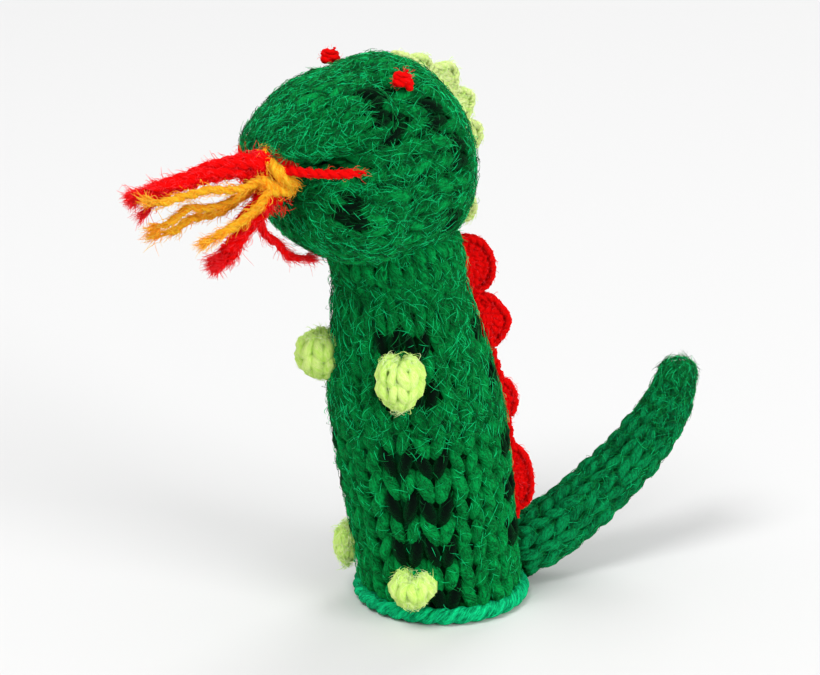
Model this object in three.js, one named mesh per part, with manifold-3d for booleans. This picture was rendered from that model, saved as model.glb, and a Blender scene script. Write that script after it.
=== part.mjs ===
// A knitted dragon finger puppet, standing on the cast-on edge of its finger sleeve.
// Millimetres, +Z up. The snout points along -Y and the tail along +Y, so +X is the side of the
// dragon's left arm. The finished puppet is moved as a whole, until the origin lies under the
// middle of its box.

import * as THREE from 'three';
import { mergeVertices } from 'three/addons/utils/BufferGeometryUtils.js';
import Module from 'manifold-3d';

// ---------------------------------------------------------------- driving dimensions

const SLEEVE_RADIUS = 13.5;        // outside, just above the cast-on edge: one adult finger
const FABRIC = 2.0;                // one layer of knitting
const GAP = 0.3;                   // between pieces that touch
const LEAN = 0.155;                // the body leans this far forward for each mm of height
const BODY_SIDES = 28;             // facets round the body and head
const HEAD_STEPS = 16;             // facets along the head
const TAIL_SIDES = 16;
const TAIL_STEPS = 8;
const YARN_SIDES = 8;

// The body: heights up the sleeve, and the radius there as a share of SLEEVE_RADIUS.
const RIM_TOP = 2.9;
const SLEEVE_TOP = 50;
const AXIS_START_Y = 0.4;
const BODY_PROFILE = [[0, 0.99], [6, 1.0], [14, 1.02], [24, 1.045], [34, 1.015], [42, 0.95], [50, 0.8]];

// The neck: a gathering yarn on top of the sleeve, on which the head turns and nods.
const NECK_YARN_RADIUS = 0.8;
const NECK_RING_RADIUS = 9.4;
const NECK_RING_HEIGHT = 51.2;

// The head: stations from back to front, each [y, bottom z, top z, half width].
const SKULL = [
  [1.8, 69, 69, 0], [0.4, 61, 77, 7.6], [-3, 57.6, 82, 11.4], [-8, 56.2, 85.3, 13.2],
  [-13.5, 56, 86.3, 13.4], [-19, 56.8, 85, 13.1], [-23.5, 59, 81, 11.9], [-26.6, 62.4, 76, 9],
  [-28.2, 68, 68, 0],
];
const SNOUT = [
  [-14, 79, 79, 0], [-17, 74.2, 83.6, 10], [-22, 74, 84.2, 11.6], [-27, 74, 82.9, 10.2],
  [-31.5, 74.4, 81.2, 7.6], [-34.1, 75.6, 79.9, 5], [-35.3, 77.8, 77.8, 0],
];
const BROW_SQUARENESS = 2.3;       // exponent of the head's rounded-square cross-section
const NECK_HOLE = { radius: 7, depth: 14, y: -8.4, z: 58 };   // in the head's underside

// The mouth: the jaw is the wedge of the head below the mouth, and it turns about the corners.
const MOUTH_CORNER = { y: -20.5, z: 73 };
const MOUTH_ROOF_ANGLE = -4;       // degrees below the level of the corner, so the roof rises a little
const JAW_TOP_ANGLE = 1;
const JAW_BACK_ANGLE = 76;
const JAW_OPENING = 12;            // degrees that the jaw drops, so the head leaves this room
const JAW_DROP = 0.9;              // the jaw's top lies this far below the corner
const JAW_SETBACK = 1.2;           // and its back this far in front of it
const JAW_BACK_WALL = 1.0;
const JAW_HOLLOW_ANGLE = 6;        // the hollow runs out this much further down the back

// The tail: its bearing from the snout, then points [distance from the body's axis, height, radius].
const TAIL_BEARING = 167;
const TAIL = [
  [13.5, 5.4, 4.9], [18.5, 7.5, 4.9], [24.5, 11.3, 4.6], [30.5, 15.8, 4.4],
  [35.5, 20.6, 4.1], [39.3, 25.2, 3.7], [41.3, 29.4, 3.1], [41.8, 31.6, 2.3],
];
const TAIL_BEND_AT = 0.56;         // where along its length the tail bends
const TAIL_BEND_GAP = 2.2;
const TAIL_SWING = 20;             // degrees to each side, so the root leaves this room
const TAIL_PIVOT_DISTANCE = 14.2;
const TAIL_FABRIC = 1.5;
const TAIL_HOLLOW_END = 0.93;      // share of the length where the tip's hollow ends
const TAIL_STUFFING_END = 0.91;
const TAIL_OVERRUN = 0.02;         // how far the hollows run out of the cut ends, as a share
const TAIL_ROUNDING = { start: 0.72, length: 0.34 };   // shares of the tip that round its end off

// Crocheted strips: discs [y or distance from the axis, height, radius] along a thin band.
const STRIP_THICKNESS = 2.2;
const STRIP_BAND = 1.7;
const CREST_SCALLOPS = [
  [-4.2, 83.0, 2.8], [0.2, 80.9, 3.1], [2.6, 76.8, 3.0], [4.2, 71.9, 2.9], [3.9, 60.8, 2.3],
];
const CREST_BOTTOM = 59.2;
const CREST_SLAB = { depth: 22, height: 40, y: 4.2 };   // the part of the head that the crest covers
const SPINE_BEARING = 162;
const SPINE_SCALLOPS = [[13.2, 44.9, 3.5], [14.4, 31.5, 2.3], [14.9, 19.6, 3.5]];
const NAPE_SCALLOP = [12.7, 53, 2.1];
const SPINE_BOTTOM = 12;
const SPINE_SLAB = { depth: 18, y: 14 };

// Crocheted bobbles: [name, bearing from the snout, height, half width, half height].
const BOBBLES = [
  ['left_arm', 48, 40, 4.0, 4.8], ['right_arm', -30, 40.4, 3.9, 4.4],
  ['left_foot', 38, 6.4, 3.7, 3.5], ['right_foot', -33, 8.2, 3.6, 3.9],
];
const BOBBLE_DEPTH = 3.6;
const BOBBLE_STANDOFF = 1.2;       // from the sleeve's outside to the bobble's middle

const EYE_PLACE = [8.8, -13.4, 84.2];
const EYE_HALF_SIZE = [1.7, 1.5, 1.3];

// The flame: yarn ends that come out of a knot in front of the mouth.
const KNOT_CENTRE = [1.5, -30.6, 71.9];
const KNOT_CORE_RADIUS = 1.9;
const KNOT_WRAP_RADIUS = 2.95;
const KNOT_WRAP_DIAMETER = 1.3;
const FLAME_ENDS = [
  ['flame_red_upper', 'red', 2.1, [
    [1.5, -33.7, 73.1], [1.5, -36.5, 73.8], [1.5, -41.5, 73.5], [1.5, -46, 72.7], [1.5, -50.5, 72.5],
    [1.2, -54, 72.2]]],
  ['flame_red_middle', 'red', 1.5, [
    [-0.9, -33.6, 72.6], [-0.9, -38, 72.4], [-0.8, -44.5, 71.6], [-0.6, -48, 70.6], [-0.5, -50.4, 69.3]]],
  ['flame_orange_upper', 'orange', 1.4, [
    [3.2, -33.6, 71.2], [3.3, -37.5, 70.6], [3.3, -42, 71.3], [3.3, -46, 71], [3.3, -50.4, 70.6],
    [3.3, -53.3, 71.1]]],
  ['flame_orange_middle', 'orange', 1.4, [
    [1.2, -33.7, 69.9], [1.2, -38, 68.2], [1.2, -41, 68.4], [1.2, -44.2, 69], [1.2, -46.2, 67.8],
    [1.2, -50.4, 67.7]]],
  ['flame_orange_lower', 'orange', 1.4, [
    [-1, -33.4, 68.9], [-1.3, -38.3, 66.4], [-1.3, -42.2, 66.2], [-1.3, -44.6, 64.9], [-1.3, -47.9, 64.7]]],
  ['flame_orange_short', 'orange', 1.3, [
    [4.5, -33.7, 69.3], [4.3, -36.5, 66.9], [4.1, -39.4, 65.6], [4, -43, 64.8]]],
  ['flame_red_lower', 'red', 2.0, [
    [2.9, -32.9, 68.4], [2.7, -34.8, 66.5], [2.5, -36.4, 64.7], [2.5, -38, 62.9], [2.5, -39.8, 61.5],
    [2.5, -41.6, 60.6]]],
  ['chin_yarn', 'red', 1.4, [
    [0.6, -31, 67.7], [1, -32.3, 65.4], [1, -31.4, 63], [1, -29.3, 61.1], [1, -27.4, 59], [1, -24.6, 57.9]]],
];
const MOUTH_YARN = [
  [6, -30.2, 73.1], [8, -29.2, 73.1], [10.6, -27.0, 73.1], [12.3, -24.4, 73.1], [12.8, -22.6, 73.1],
];
// The knot sits to the left of the middle, so the right-hand yarn starts further from the corner.
const MOUTH_YARN_RIGHT_START = [-3, -30.8, 73.1];
const MOUTH_YARN_DIAMETER = 1.2;

// ---------------------------------------------------------------- materials

const wool = (colour) => new THREE.MeshStandardMaterial({ color: colour, roughness: 0.95, metalness: 0 });
const GREEN = wool(0x047a38);
const LIME = wool(0xcdf56b);
const RED = wool(0xf01212);
const ORANGE = wool(0xff8c12);
const WHITE_FIBRE = wool(0xe9e6dc);
const YARN_COLOURS = { red: RED, orange: ORANGE };

// ---------------------------------------------------------------- solids

const wasm = await Module();
wasm.setup();

const radians = THREE.MathUtils.degToRad;

// Six times the signed volume of a triangle mesh: negative when its faces point inwards.
function signedVolume(positions, index) {
  const [a, b, c] = [new THREE.Vector3(), new THREE.Vector3(), new THREE.Vector3()];
  let volume = 0;
  for (let i = 0; i < index.length; i += 3) {
    a.fromArray(positions, index[i] * 3);
    b.fromArray(positions, index[i + 1] * 3);
    c.fromArray(positions, index[i + 2] * 3);
    volume += a.dot(b.cross(c));
  }
  return volume;
}

// A closed three.js geometry as a manifold solid, with its faces turned outwards.
function solid(geometry) {
  geometry.deleteAttribute('normal');
  geometry.deleteAttribute('uv');
  const merged = mergeVertices(geometry, 1e-4);
  const vertProperties = Float32Array.from(merged.attributes.position.array);
  const triVerts = Uint32Array.from(merged.index.array);
  if (signedVolume(vertProperties, triVerts) < 0) triVerts.reverse();
  const mesh = new wasm.Mesh({ numProp: 3, vertProperties, triVerts });
  mesh.merge();
  return new wasm.Manifold(mesh);
}

function geometryOf(manifold) {
  const mesh = manifold.getMesh();
  const geometry = new THREE.BufferGeometry();
  geometry.setAttribute('position', new THREE.BufferAttribute(Float32Array.from(mesh.vertProperties), 3));
  geometry.setIndex(new THREE.BufferAttribute(Uint32Array.from(mesh.triVerts), 1));
  return geometry;
}

// Moves every vertex of a geometry to where place(vertex) says.
function reshape(geometry, place) {
  const position = geometry.attributes.position;
  const vertex = new THREE.Vector3();
  for (let i = 0; i < position.count; i += 1) {
    vertex.fromBufferAttribute(position, i);
    position.setXYZ(i, ...place(vertex));
  }
  return geometry;
}

function ellipsoid(halfSizes, around = 14, along = 10) {
  return new THREE.SphereGeometry(1, around, along).scale(...halfSizes);
}

function yarnTube(points, diameter) {
  const path = new THREE.CatmullRomCurve3(points.map((p) => new THREE.Vector3(...p)));
  const section = new THREE.Shape();
  for (let i = 0; i < YARN_SIDES; i += 1) {
    const angle = (i / YARN_SIDES) * 2 * Math.PI;
    const [x, y] = [Math.cos(angle) * diameter / 2, Math.sin(angle) * diameter / 2];
    if (i === 0) section.moveTo(x, y);
    else section.lineTo(x, y);
  }
  section.closePath();
  const steps = Math.round(path.getLength() / (1.6 * diameter));
  return new THREE.ExtrudeGeometry(section, { extrudePath: path, steps, bevelEnabled: false });
}

// ---------------------------------------------------------------- body envelope

const bodyCurve = new THREE.SplineCurve(
  BODY_PROFILE.map(([z, share]) => new THREE.Vector2(share * SLEEVE_RADIUS, z)));
const bodyAxisY = (z) => AXIS_START_Y - LEAN * z;

// Points up the body's outside, moved outwards by `offset`, between two heights.
function bodyOutline(offset, bottom, top, steps = 10) {
  const dense = bodyCurve.getPoints(60);
  const outline = [];
  for (let i = 0; i <= steps; i += 1) {
    const z = THREE.MathUtils.lerp(bottom, top, i / steps);
    const above = Math.max(1, dense.findIndex((p) => p.y >= z));
    const [low, high] = [dense[above - 1], dense[above]];
    const radius = THREE.MathUtils.mapLinear(z, low.y, high.y, low.x, high.x);
    outline.push(new THREE.Vector2(radius + offset, z));
  }
  return outline;
}

// Turns a lathe profile about the leaning axis of the body.
function turned(profile) {
  const lathe = new THREE.LatheGeometry(profile, BODY_SIDES).rotateX(Math.PI / 2);
  return reshape(lathe, (v) => [v.x, v.y + bodyAxisY(v.z), v.z]);
}

function bodyEnvelope(offset) {
  const outline = bodyOutline(offset, 0, SLEEVE_TOP - 0.01);
  const top = outline[outline.length - 1];
  const profile = [
    new THREE.Vector2(0, -4), new THREE.Vector2(outline[0].x, -4), ...outline,
    new THREE.Vector2(top.x - 1.5, SLEEVE_TOP + 8), new THREE.Vector2(0, SLEEVE_TOP + 8),
  ];
  return solid(turned(profile));
}

// A point at a bearing from the snout, a distance from the body's axis and a height.
function around(bearing, distance, z) {
  const angle = radians(bearing);
  return new THREE.Vector3(Math.sin(angle) * distance, bodyAxisY(z) - Math.cos(angle) * distance, z);
}

// ---------------------------------------------------------------- head envelope

// A closed shell of rounded-square sections through head stations, drawn in by `inset`.
function headForm(stations, inset) {
  const lows = new THREE.CatmullRomCurve3(
    stations.map(([y, low, , half]) => new THREE.Vector3(half, y, low)));
  const highs = new THREE.CatmullRomCurve3(
    stations.map(([y, , high, half]) => new THREE.Vector3(half, y, high)));
  const middle = (stations[0][0] + stations[stations.length - 1][0]) / 2;
  const halfLength = Math.abs(stations[0][0] - middle);
  const form = new THREE.SphereGeometry(1, BODY_SIDES, HEAD_STEPS);
  return solid(reshape(form, (v) => {
    const along = Math.acos(THREE.MathUtils.clamp(v.y, -1, 1)) / Math.PI;
    const low = lows.getPoint(along);
    const high = highs.getPoint(along);
    const angle = Math.atan2(v.z, v.x);
    const squared = (value) => Math.sign(value) * Math.abs(value) ** (2 / BROW_SQUARENESS);
    const pole = Math.hypot(v.x, v.z) < 1e-6;
    const halfWidth = pole ? 0 : Math.max(0, low.x - inset);
    const halfHeight = pole ? 0 : Math.max(0, (high.z - low.z) / 2 - inset);
    const y = middle + (low.y - middle) * (halfLength - inset) / halfLength;
    const centre = (low.z + high.z) / 2;
    return [halfWidth * squared(Math.cos(angle)), y, centre + halfHeight * squared(Math.sin(angle))];
  }));
}

const headEnvelope = (inset) => headForm(SKULL, inset).add(headForm(SNOUT, inset));

// A wedge across the head between two angles below the mouth, at a corner this far behind the mouth's.
function mouthWedge(fromDegrees, toDegrees, behind) {
  const reach = 40;
  const width = 60;
  const corner = new THREE.Vector2(MOUTH_CORNER.y + behind, MOUTH_CORNER.z);
  const rim = (degrees, distance) => new THREE.Vector2(
    corner.x - distance * Math.cos(radians(degrees)), corner.y - distance * Math.sin(radians(degrees)));
  const outline = new THREE.Shape([
    corner, rim(fromDegrees, reach), rim(45, reach * Math.SQRT2), rim(toDegrees, reach),
  ]);
  const prism = new THREE.ExtrudeGeometry(outline, { depth: width, bevelEnabled: false });
  // The outline's plane (x, y) becomes (y, z), and its depth runs along x.
  return solid(reshape(prism, (v) => [v.z - width / 2, v.x, v.y]));
}

// ---------------------------------------------------------------- pieces

const pieces = new THREE.Group();

// A cut can leave crumbs of almost no volume beside the piece, so only its largest body is kept.
function addPiece(name, manifold, material) {
  const bodies = manifold.decompose().sort((a, b) => b.volume() - a.volume());
  const mesh = new THREE.Mesh(geometryOf(bodies[0]), material);
  mesh.name = name;
  pieces.add(mesh);
}

function makeSleeve() {
  const bottom = RIM_TOP + GAP;
  const outside = bodyOutline(0, bottom, SLEEVE_TOP);
  const inside = bodyOutline(-FABRIC, bottom, SLEEVE_TOP).reverse();
  addPiece('body_sleeve', solid(turned([...outside, ...inside, outside[0]])), GREEN);
}

// The cast-on edge: a thicker roll of yarn with a flat underside to stand on.
function makeRim() {
  const outer = SLEEVE_RADIUS + 0.2;
  const inner = SLEEVE_RADIUS - FABRIC - 0.6;
  const profile = [
    [inner + 0.7, 0], [outer - 0.8, 0], [outer, 0.9], [outer, 2.1], [outer - 0.7, RIM_TOP],
    [inner + 0.7, RIM_TOP], [inner, 2.0], [inner, 0.9], [inner + 0.7, 0],
  ].map(([x, y]) => new THREE.Vector2(x, y));
  addPiece('cast_on_edge', solid(turned(profile)), GREEN);
}

function makeNeckYarn() {
  const ring = new THREE.TorusGeometry(NECK_RING_RADIUS, NECK_YARN_RADIUS, YARN_SIDES, 32);
  ring.translate(0, bodyAxisY(NECK_RING_HEIGHT), NECK_RING_HEIGHT);
  addPiece('neck_gathering_yarn', solid(ring), GREEN);
}

function makeHead() {
  const backAngle = JAW_BACK_ANGLE + JAW_OPENING + 1;
  const mouth = mouthWedge(MOUTH_ROOF_ANGLE, backAngle, 0);
  const palate = mouthWedge(MOUTH_ROOF_ANGLE, backAngle, FABRIC);
  const liningBelow = palate.add(palate.translate([0, 0, FABRIC]));
  const { radius, depth, y, z } = NECK_HOLE;
  const neckHole = solid(new THREE.CylinderGeometry(radius, radius, depth, BODY_SIDES)
    .rotateX(Math.PI / 2).translate(0, y, z));
  const outer = headEnvelope(0).subtract(mouth);
  const inner = headEnvelope(FABRIC).subtract(liningBelow);
  addPiece('head_cover', outer.subtract(inner).subtract(neckHole), GREEN);
  const lining = palate.add(palate.translate([0, GAP, FABRIC + GAP]));
  addPiece('head_stuffing', headEnvelope(FABRIC + GAP).subtract(lining), WHITE_FIBRE);
}

function makeJaw() {
  const hollowSetback = JAW_SETBACK + JAW_BACK_WALL;
  const wedge = mouthWedge(JAW_TOP_ANGLE, JAW_BACK_ANGLE, -JAW_SETBACK).translate([0, 0, -JAW_DROP]);
  const core = mouthWedge(JAW_TOP_ANGLE, JAW_BACK_ANGLE + JAW_HOLLOW_ANGLE, -hollowSetback)
    .translate([0, 0, -JAW_DROP - FABRIC]);
  const cover = headForm(SKULL, 0).intersect(wedge);
  const hollow = headForm(SKULL, FABRIC).intersect(core);
  addPiece('jaw_cover', cover.subtract(hollow), GREEN);
  const fill = mouthWedge(JAW_TOP_ANGLE, JAW_BACK_ANGLE, -hollowSetback - GAP)
    .translate([0, 0, -JAW_DROP - FABRIC - GAP]);
  addPiece('jaw_stuffing', headForm(SKULL, FABRIC + GAP).intersect(fill), WHITE_FIBRE);
}

function makeEyes(head) {
  for (const [name, side] of [['left_eye', 1], ['right_eye', -1]]) {
    const [x, y, z] = EYE_PLACE;
    const knot = ellipsoid(EYE_HALF_SIZE).translate(side * x, y, z);
    addPiece(name, solid(knot).subtract(head), RED);
  }
}

function makeBobbles(body) {
  for (const [name, bearing, z, halfWidth, halfHeight] of BOBBLES) {
    const bobble = ellipsoid([halfWidth, BOBBLE_DEPTH, halfHeight], 16, 12);
    bobble.rotateZ(radians(bearing));
    const centre = around(bearing, SLEEVE_RADIUS + BOBBLE_STANDOFF, z);
    addPiece(name, solid(bobble.translate(...centre)).subtract(body), LIME);
  }
}

function disc(radius, thickness) {
  return new THREE.CylinderGeometry(radius, radius, thickness, 20).rotateZ(Math.PI / 2);
}

// Scallops standing in the head's middle plane, from behind the eyes to the nape.
function makeCrest(head) {
  const { depth, height, y: slabY } = CREST_SLAB;
  const slab = new THREE.BoxGeometry(STRIP_THICKNESS, depth, height)
    .translate(0, slabY, CREST_BOTTOM + height / 2);
  let crest = headEnvelope(-STRIP_BAND).intersect(solid(slab));
  for (const [y, z, radius] of CREST_SCALLOPS) {
    crest = crest.add(solid(disc(radius, STRIP_THICKNESS).translate(0, y, z)));
  }
  addPiece('head_crest', crest.subtract(head), LIME);
}

// Scallops down the back, in the plane of SPINE_BEARING.
function makeSpine(body) {
  const height = SLEEVE_TOP - SPINE_BOTTOM;
  const slab = new THREE.BoxGeometry(STRIP_THICKNESS, SPINE_SLAB.depth, height)
    .translate(0, SPINE_SLAB.y, SPINE_BOTTOM + height / 2);
  const turn = radians(SPINE_BEARING - 180);
  const lean = (v) => [v.x, v.y + bodyAxisY(v.z), v.z];
  let spine = bodyEnvelope(STRIP_BAND).intersect(solid(reshape(slab.rotateZ(turn), lean)));
  const scallop = ([distance, z, radius]) => solid(
    disc(radius, STRIP_THICKNESS).rotateZ(turn).translate(...around(SPINE_BEARING, distance, z)));
  for (const place of SPINE_SCALLOPS) {
    spine = spine.add(scallop(place));
  }
  addPiece('back_spine', spine.subtract(body), RED);
  addPiece('nape_scallop', scallop(NAPE_SCALLOP), RED);
}

// A tube of changing radius along the tail between two shares of its length, with a round end
// where `roundEnd` asks for one.
function tailTube(curve, radii, from, to, inset, roundEnd) {
  const tube = new THREE.CylinderGeometry(1, 1, 1, TAIL_SIDES, TAIL_STEPS);
  const side = new THREE.Vector3(-Math.cos(radians(TAIL_BEARING)), -Math.sin(radians(TAIL_BEARING)), 0);
  return solid(reshape(tube, (v) => {
    const along = v.y + 0.5;
    const share = THREE.MathUtils.lerp(from, to, along);
    const onCurve = THREE.MathUtils.clamp(share, 0, 1);
    const tangent = curve.getTangentAt(onCurve);
    const beyond = (share - onCurve) * curve.getLength();
    const centre = curve.getPointAt(onCurve).addScaledVector(tangent, beyond);
    const up = new THREE.Vector3().crossVectors(side, tangent).normalize();
    const rounding = Math.max(0, (along - TAIL_ROUNDING.start) / TAIL_ROUNDING.length);
    const closing = roundEnd ? Math.sqrt(1 - rounding ** 2) : 1;
    const radius = Math.max(0.4, (radii(share) - inset) * closing);
    const point = centre.addScaledVector(side, v.x * radius).addScaledVector(up, v.z * radius);
    return point.toArray();
  }));
}

function makeTail() {
  const curve = new THREE.CatmullRomCurve3(TAIL.map(([distance, z]) => {
    const angle = radians(TAIL_BEARING);
    return new THREE.Vector3(Math.sin(angle) * distance, -Math.cos(angle) * distance, z);
  }));
  const radii = (share) => {
    const place = THREE.MathUtils.clamp(share, 0, 1) * (TAIL.length - 1);
    const i = Math.min(TAIL.length - 2, Math.floor(place));
    return THREE.MathUtils.lerp(TAIL[i][2], TAIL[i + 1][2], place - i);
  };
  const halfGap = TAIL_BEND_GAP / 2 / curve.getLength();
  const [rootEnd, tipStart] = [TAIL_BEND_AT - halfGap, TAIL_BEND_AT + halfGap];
  // The root stays clear of the body wherever the tail swings.
  const pivot = around(TAIL_BEARING, TAIL_PIVOT_DISTANCE, TAIL[0][1]);
  let room = bodyEnvelope(0.5);
  for (const swing of [-TAIL_SWING, -TAIL_SWING / 2, TAIL_SWING / 2, TAIL_SWING]) {
    const aside = bodyEnvelope(0.5).translate([-pivot.x, -pivot.y, 0]).rotate([0, 0, swing]);
    room = room.add(aside.translate([pivot.x, pivot.y, 0]));
  }
  const root = tailTube(curve, radii, 0, rootEnd, 0, false);
  const rootHollow = tailTube(
    curve, radii, -TAIL_OVERRUN, rootEnd + TAIL_OVERRUN, TAIL_FABRIC, false);
  addPiece('tail_root_cover', root.subtract(rootHollow).subtract(room), GREEN);
  const rootFill = tailTube(curve, radii, 0, rootEnd, TAIL_FABRIC + GAP, false);
  addPiece('tail_root_stuffing', rootFill.subtract(room), WHITE_FIBRE);
  const tip = tailTube(curve, radii, tipStart, 1, 0, true);
  const tipHollow = tailTube(
    curve, radii, tipStart - TAIL_OVERRUN, TAIL_HOLLOW_END, TAIL_FABRIC, true);
  addPiece('tail_tip_cover', tip.subtract(tipHollow), GREEN);
  const tipFill = tailTube(curve, radii, tipStart, TAIL_STUFFING_END, TAIL_FABRIC + GAP, true);
  addPiece('tail_tip_stuffing', tipFill, WHITE_FIBRE);
}

function makeFlame(head) {
  const core = ellipsoid([KNOT_CORE_RADIUS, KNOT_CORE_RADIUS, KNOT_CORE_RADIUS * 1.15]);
  addPiece('flame_knot_core', solid(core.translate(...KNOT_CENTRE)).subtract(head), RED);
  const wrap = new THREE.TorusGeometry(KNOT_WRAP_RADIUS, KNOT_WRAP_DIAMETER / 2, YARN_SIDES, 20);
  wrap.rotateX(Math.PI / 2).translate(...KNOT_CENTRE);
  addPiece('flame_knot_wrap', solid(wrap).subtract(head), ORANGE);
  for (const [name, colour, diameter, points] of FLAME_ENDS) {
    addPiece(name, solid(yarnTube(points, diameter)), YARN_COLOURS[colour]);
  }
  for (const [name, side] of [['mouth_yarn_left', 1], ['mouth_yarn_right', -1]]) {
    const start = side > 0 ? [] : [MOUTH_YARN_RIGHT_START];
    const points = [...start, ...MOUTH_YARN.map(([x, y, z]) => [side * x, y, z])];
    addPiece(name, solid(yarnTube(points, MOUTH_YARN_DIAMETER)).subtract(head), RED);
  }
}

const mouthRoom = mouthWedge(MOUTH_ROOF_ANGLE / 2, JAW_BACK_ANGLE + JAW_OPENING + 1, 0);
const headRoom = headEnvelope(-GAP).subtract(mouthRoom);
const bodyRoom = bodyEnvelope(GAP);
makeSleeve();
makeRim();
makeNeckYarn();
makeHead();
makeJaw();
makeEyes(headRoom);
makeCrest(headEnvelope(-GAP));
makeSpine(bodyRoom);
makeBobbles(bodyRoom);
makeTail();
makeFlame(headRoom);

const box = new THREE.Box3().setFromObject(pieces);
const centre = box.getCenter(new THREE.Vector3());
pieces.position.set(-centre.x, -centre.y, -box.min.z);

const puppet = new THREE.Group();
puppet.add(pieces);
puppet.updateMatrixWorld(true);

export default puppet;
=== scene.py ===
"""Looks of the knitted dragon finger puppet: yarn-by-yarn knitting, crochet, plied yarn ends and fuzz.

Shapes are worked out in millimetres, in the model's own axes: -Y is ahead of the snout, +X is the
left arm's side, and the origin is on the table, inside the cast-on edge. place() turns them into the
frame's metres. A bearing is in degrees round the body, from the snout towards the left arm.
"""

import math
from collections import namedtuple

import bpy
import numpy as np
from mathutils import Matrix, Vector


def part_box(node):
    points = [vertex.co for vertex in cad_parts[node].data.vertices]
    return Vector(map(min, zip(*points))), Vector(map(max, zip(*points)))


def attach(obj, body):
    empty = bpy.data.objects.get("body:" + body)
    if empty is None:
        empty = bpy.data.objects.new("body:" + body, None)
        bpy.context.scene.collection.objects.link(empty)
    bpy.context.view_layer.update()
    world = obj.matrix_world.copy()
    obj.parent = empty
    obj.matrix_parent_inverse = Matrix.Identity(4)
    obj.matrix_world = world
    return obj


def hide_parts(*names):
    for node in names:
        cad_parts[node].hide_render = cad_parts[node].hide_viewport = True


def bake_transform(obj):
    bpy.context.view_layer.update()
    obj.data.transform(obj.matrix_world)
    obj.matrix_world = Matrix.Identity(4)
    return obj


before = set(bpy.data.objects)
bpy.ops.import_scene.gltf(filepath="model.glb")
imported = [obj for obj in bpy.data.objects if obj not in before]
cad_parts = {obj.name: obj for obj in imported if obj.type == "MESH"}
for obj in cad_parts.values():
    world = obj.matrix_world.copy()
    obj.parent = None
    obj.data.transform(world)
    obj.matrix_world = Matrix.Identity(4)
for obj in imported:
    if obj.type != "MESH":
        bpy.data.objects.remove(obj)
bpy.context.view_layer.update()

# ---- driving dimensions, in mm

MM = 0.001
TWO_PI = 2 * math.pi
UP = np.array([0, 0, 1.0])
RIGHT = np.array([1.0, 0, 0])

SLEEVE_RADIUS = 13.5
LEAN = 0.155  # how far the body's axis leans ahead for each mm of height
AXIS_START_Y = 0.4
RIM_MIDDLE = 1.5  # half the cast-on edge's height, where its box is centred
RIM_TOP = 2.9
RIM_RING = SLEEVE_RADIUS - 1.25
RIM_STRAND_RADIUS = 0.95
RIM_STRAND_HEIGHT = 1.4
RIM_WINDING = 0.4  # how far each of the edge's strands swings round the other
NECK_HEIGHT = 51.2
# The body's outline: its radius at these heights, as a share of SLEEVE_RADIUS.
BODY_HEIGHTS = [0, 6, 14, 24, 34, 42, 48, 53, 57, 60]
BODY_SHARES = [0.94, 0.945, 0.96, 0.99, 0.965, 0.88, 0.79, 0.73, 0.7, 0.69]

# Head stations from back to front: y, bottom z, top z, half width.
SKULL = [
    (1.8, 69, 69, 0), (0.4, 61, 77, 7.6), (-3, 57.6, 82, 11.4), (-8, 56.2, 85.3, 13.2),
    (-13.5, 56, 85.4, 13.2), (-18.5, 56.8, 83.8, 12.8), (-21.5, 60, 81.6, 10.8), (-23.6, 66, 79, 6.5),
    (-24.2, 72.5, 72.5, 0),
]
SNOUT = [
    (-12.0, 78.6, 78.6, 0), (-15.5, 73.1, 83.9, 10.6), (-21, 72.9, 83.4, 11.0), (-26.5, 72.7, 80.7, 8.8),
    (-30.0, 72.6, 78.6, 6.3), (-31.9, 73.0, 77.0, 4.3), (-32.8, 75.0, 75.0, 0),
]
JAW = [
    (-12.5, 66, 66, 0), (-15.5, 57.6, 72.4, 12.6), (-20, 57.4, 72.6, 12.9), (-23.5, 59.2, 72.6, 12),
    (-26.6, 62.6, 72.2, 9.2), (-28.2, 67.6, 67.6, 0),
]
SECTION_SQUARENESS = 2.15  # 2 is an ellipse, and more is squarer

# Tail stations from its root to its tip: distance out from the body's axis, height, radius.
TAIL_BEARING = 167.0
TAIL = [
    (11.5, 5.4, 4.9), (18.5, 7.5, 4.9), (24.5, 11.3, 4.6), (30.5, 15.8, 4.4),
    (35.3, 20.6, 4.2), (38.6, 25.2, 3.8), (40.1, 29.4, 3.2), (40.4, 31.6, 2.5), (40.4, 32.7, 0.8),
]
TAIL_SPLIT = 0.53  # share of the tail's length where its two pieces meet

# The knitting: stitches round each form, and one course's height.
BODY_STITCHES = 15
SKULL_STITCHES = 16
SNOUT_STITCHES = 12
JAW_STITCHES = 14
TAIL_STITCHES = 7
BOBBLE_STITCHES = 6
COURSE = 3.85
FACE_COURSE = 0.9 * COURSE
TAIL_COURSE = 3.3
FOLD_COURSE = 3.0
BOBBLE_COURSE = 2.6
YARN_RADIUS = 0.95
FACE_YARN_RADIUS = 0.9 * YARN_RADIUS
SMALL_YARN_RADIUS = 0.85
LOOP_SLANT = 0.2  # how far a stitch's legs lean out, as a share of its width
LOOP_REACH = 0.78  # how far a loop reaches up and down, in courses
LOOP_DEPTH = 0.62
CLOTH_DEPTH = 1.6  # from the outside of the knitting to its middle
SLEEVE_WALL = (1.5, 2.1)  # depths of the sleeve's lining
FOLD_WALL = (1.1, 1.5)
SPIRAL = 0.12  # degrees that the wales drift round for each mm of height
FIRST_WALE = 24.0  # bearing where the first of the black pairs starts
FORM_STEP = 0.01  # step for slopes along a form whose length runs from 0 to 1
BODY_STEP = 0.2  # the same in mm, for the body, whose length is its height

# Black stitches, as (course, stitch).
SKULL_BLACK = [(6, 14), (6, 13), (4, 13), (3, 12), (3, 10)]
SNOUT_BLACK = [(1, 10), (1, 9)]
JAW_BLACK = [(3, 10), (3, 11), (4, 10)]

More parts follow.
